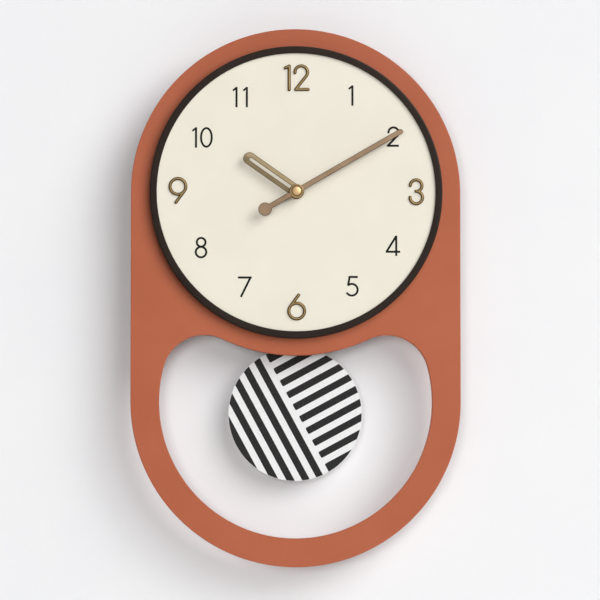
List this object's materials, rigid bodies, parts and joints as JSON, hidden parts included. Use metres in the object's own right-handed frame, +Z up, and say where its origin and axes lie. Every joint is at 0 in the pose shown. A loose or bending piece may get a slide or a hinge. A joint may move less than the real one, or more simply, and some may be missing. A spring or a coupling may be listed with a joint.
{
  "type": "pendulum wall clock",
  "caption": "Stadium-shaped terracotta wall clock: round drum dial with raised numerals over a window where a striped disc pendulum swings, driven by a battery movement.",
  "frame": {"origin": "centre of the keyhole hanger's round entry, on the wall plane", "axes": "+X to the right seen from the front, +Y into the wall, +Z up; the front faces -Y"},
  "size_m": [0.3, 0.0594, 0.4898],
  "materials": {
    "board_paint": "terracotta matt paint on fibreboard",
    "rail_paint": "terracotta matt paint on fibreboard",
    "ring_black": "black satin lacquer",
    "dial_cream": "cream matt print",
    "numeral_bronze": "bronze satin lacquer",
    "hand_bronze": "brushed bronze lacquer",
    "cap_brass": "satin",
    "zinc_steel": "satin",
    "felt_rubber": "matte",
    "movement_black": "matte",
    "gear_plastic": "matte",
    "white_plastic": "satin",
    "brass_part": "satin",
    "board_green": "satin",
    "lamination": "satin",
    "copper_wire": "gloss",
    "cell_wrap": "satin",
    "ferrite": "matte",
    "rod_metal": "satin",
    "bob_print": "black stripes printed on white"
  },
  "bodies": {
    "root": {"face_board": "board_paint", "bezel_ring": "ring_black", "dial_plate": "dial_cream", "numeral_12": "numeral_bronze", "numeral_3": "numeral_bronze", "numeral_6": "numeral_bronze", "numeral_9": "numeral_bronze", "rail_top": "rail_paint", "rail_left": "rail_paint", "rail_right": "rail_paint", "hanger_plate": "zinc_steel", "hanger_screws": "zinc_steel", "wall_bumpers": "felt_rubber", "ring_screws": "zinc_steel", "movement_case": "movement_black", "movement_cover": "movement_black", "cover_screws": "zinc_steel", "rubber_washer": "felt_rubber", "brass_washer": "brass_part", "hex_nut": "brass_part", "train_plate": "gear_plastic", "circuit_board": "board_green", "quartz_crystal": "zinc_steel", "motor_core": "lamination", "motor_bobbin": "white_plastic", "motor_winding": "copper_wire", "stator_plate": "lamination", "battery_cell": "cell_wrap", "contact_positive": "zinc_steel", "contact_negative": "zinc_steel", "drive_bobbin": "white_plastic", "drive_winding": "copper_wire", "pivot_pin": "zinc_steel"},
    "pendulum": {"pendulum_hanger": "white_plastic", "drive_magnet": "ferrite", "rod_pin": "zinc_steel", "pendulum_rod": "rod_metal", "bob_disc": "bob_print", "bob_clip": "white_plastic"},
    "minute": {"minute_arbor": "brass_part", "minute_pinion": "gear_plastic", "minute_hand": "hand_bronze", "hand_cap": "cap_brass"},
    "hour": {"hour_pipe": "gear_plastic", "hour_wheel": "gear_plastic", "hour_hand": "hand_bronze"},
    "reverser": {"reverser_wheel": "gear_plastic", "reverser_arbor": "zinc_steel"},
    "setting": {"setting_pinion": "gear_plastic", "set_knob": "white_plastic"},
    "centre": {"centre_wheel": "brass_part"},
    "third": {"third_wheel": "gear_plastic", "third_arbor": "zinc_steel"},
    "second": {"second_wheel": "gear_plastic", "second_arbor": "zinc_steel"},
    "intermediate": {"intermediate_wheel": "gear_plastic", "intermediate_arbor": "zinc_steel"},
    "rotor": {"rotor_pinion": "gear_plastic", "rotor_magnet": "ferrite", "rotor_arbor": "zinc_steel"}
  },
  "joints": [
    {"name": "pendulum_swing", "type": "hinge", "parent": "root", "child": "pendulum", "pos_m": [0, -0.0226, -0.116], "axis": [0, 1, 0], "range_deg": [-15, 15]},
    {"name": "minute_turn", "type": "hinge", "parent": "root", "child": "minute", "pos_m": [0, -0.05, -0.082], "axis": [0, 1, 0], "continuous": true},
    {"name": "hour_turn", "type": "hinge", "parent": "root", "child": "hour", "pos_m": [0, -0.048, -0.082], "axis": [0, 1, 0], "continuous": true},
    {"name": "reverser_turn", "type": "hinge", "parent": "root", "child": "reverser", "pos_m": [0, -0.04, -0.0736], "axis": [0, 1, 0], "continuous": true},
    {"name": "setting_turn", "type": "hinge", "parent": "root", "child": "setting", "pos_m": [0.00402, -0.03, -0.06663], "axis": [0, 1, 0], "continuous": true},
    {"name": "second_turn", "type": "hinge", "parent": "root", "child": "second", "pos_m": [0, -0.033, -0.082], "axis": [0, 1, 0], "continuous": true},
    {"name": "centre_turn", "type": "hinge", "parent": "root", "child": "centre", "pos_m": [0, -0.0376, -0.082], "axis": [0, 1, 0], "continuous": true},
    {"name": "third_turn", "type": "hinge", "parent": "root", "child": "third", "pos_m": [0.0102, -0.033, -0.082], "axis": [0, 1, 0], "continuous": true},
    {"name": "intermediate_turn", "type": "hinge", "parent": "root", "child": "intermediate", "pos_m": [-0.00947, -0.033, -0.07855], "axis": [0, 1, 0], "continuous": true},
    {"name": "rotor_turn", "type": "hinge", "parent": "root", "child": "rotor", "pos_m": [-0.0151, -0.033, -0.07383], "axis": [0, 1, 0], "continuous": true}
  ],
  "couplings": [
    {"joint": "reverser_turn", "follows": "minute_turn", "ratio": -0.33333},
    {"joint": "hour_turn", "follows": "minute_turn", "ratio": 0.083333},
    {"joint": "setting_turn", "follows": "minute_turn", "ratio": 1.2},
    {"joint": "third_turn", "follows": "second_turn", "ratio": -0.13333},
    {"joint": "centre_turn", "follows": "second_turn", "ratio": 0.016667},
    {"joint": "intermediate_turn", "follows": "second_turn", "ratio": -5},
    {"joint": "rotor_turn", "follows": "second_turn", "ratio": 30}
  ]
}
